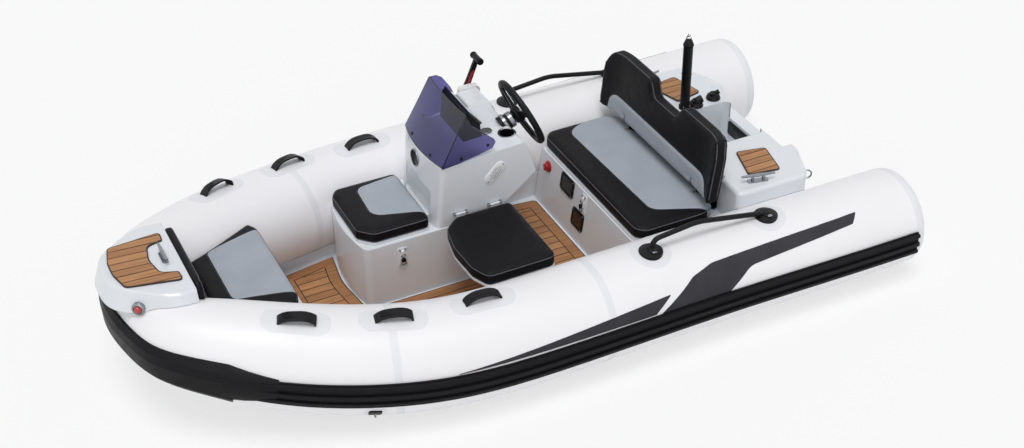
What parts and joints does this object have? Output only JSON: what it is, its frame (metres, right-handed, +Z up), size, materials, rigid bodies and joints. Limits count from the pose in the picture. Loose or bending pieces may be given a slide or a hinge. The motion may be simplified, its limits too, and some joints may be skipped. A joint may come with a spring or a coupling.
{
  "type": "rigid inflatable boat",
  "caption": "Rigid inflatable tender with V hull, white tube, side console with tinted windscreen and wheel, fold-up and lidded seats, bench with folding backrest and teak deck pads.",
  "frame": {"origin": "on the centreline at the waterline, beneath the engine transom", "axes": "+X forward to the bow, +Y to port, +Z up"},
  "size_m": [3.3502, 1.7798, 1.0621],
  "materials": {
    "tube_fabric": "matte coated fabric",
    "strake_rubber": "semi-matte",
    "gelcoat": "gloss",
    "teak": "oiled, dark caulked seams",
    "black_vinyl": "satin",
    "console_shell": "gloss",
    "tinted_acrylic": "clear tinted",
    "smoked_glass": "gloss",
    "black_plastic": "matte",
    "white_plastic": "satin",
    "stainless": "polished",
    "wheel_grip": "satin",
    "red_lens": "gloss",
    "green_lens": "gloss",
    "red_plastic": "satin"
  },
  "bodies": {
    "boat": {"tube": "tube_fabric", "stern_caps": "tube_fabric", "rub_strake": "strake_rubber", "bow_guard": "strake_rubber", "hull_bottom": "gelcoat", "deck_liner": "gelcoat", "bench_base": "gelcoat", "stern_moulding": "gelcoat", "bow_step": "gelcoat", "bow_pad": "teak", "floor_pad": "teak", "stern_pads": "teak", "seat_pedestal": "gelcoat", "console": "console_shell", "windscreen": "tinted_acrylic", "dash_glass": "smoked_glass", "rocker_switches": "white_plastic", "cup_holder": "black_plastic", "console_vents": "white_plastic", "helm_bezel": "black_plastic", "throttle_box": "black_plastic", "throttle_lever": "black_plastic", "bow_bolster": "black_vinyl", "dash_hood": "black_plastic", "hinge_pins": "stainless", "grab_rails": "black_plastic", "lift_handles": "black_plastic", "cleats": "stainless", "mooring_rings": "stainless", "nav_light_housings": "stainless", "nav_lens_red": "red_lens", "nav_lens_green": "green_lens", "light_mast": "black_plastic", "rigging_boots": "black_plastic", "latches": "white_plastic", "inspection_windows": "smoked_glass", "battery_switch": "red_plastic"},
    "steering": {"steering_wheel": "wheel_grip"},
    "front_seat": {"seat_lid": "gelcoat", "seat_cushion": "black_vinyl"},
    "side_seat": {"side_seat_board": "gelcoat", "side_seat_cushion": "black_vinyl"},
    "bow_locker_lid": {"bow_lid": "gelcoat", "bow_cushion": "black_vinyl"},
    "bench_seat": {"bench_lid": "gelcoat", "bench_cushion": "black_vinyl", "bench_brackets": "black_plastic"},
    "bench_backrest": {"backrest": "black_vinyl"}
  },
  "joints": [
    {"name": "wheel_turn", "type": "hinge", "parent": "boat", "child": "steering", "pos_m": [1.064, -0.19, 0.672], "axis": [-0.9135, 0, 0.4067], "range_deg": [-540, 540]},
    {"name": "front_seat_lid", "type": "hinge", "parent": "boat", "child": "front_seat", "pos_m": [1.72, -0.402, 0.337], "axis": [1, 0, 0], "range_deg": [0, 55]},
    {"name": "side_seat_fold", "type": "hinge", "parent": "boat", "child": "side_seat", "pos_m": [1.372, 0.01, 0.3883], "axis": [1, 0, 0], "range_deg": [0, 80]},
    {"name": "bow_locker_open", "type": "hinge", "parent": "boat", "child": "bow_locker_lid", "pos_m": [2.258, 0, 0.353], "axis": [0, -1, 0], "range_deg": [0, 85]},
    {"name": "bench_seat_lift", "type": "hinge", "parent": "boat", "child": "bench_seat", "pos_m": [0.405, 0, 0.47], "axis": [0, -1, 0], "range_deg": [0, 33]},
    {"name": "backrest_fold", "type": "hinge", "parent": "bench_seat", "child": "bench_backrest", "pos_m": [0.46, 0, 0.425], "axis": [0, 1, 0], "range_deg": [0, 85]}
  ]
}
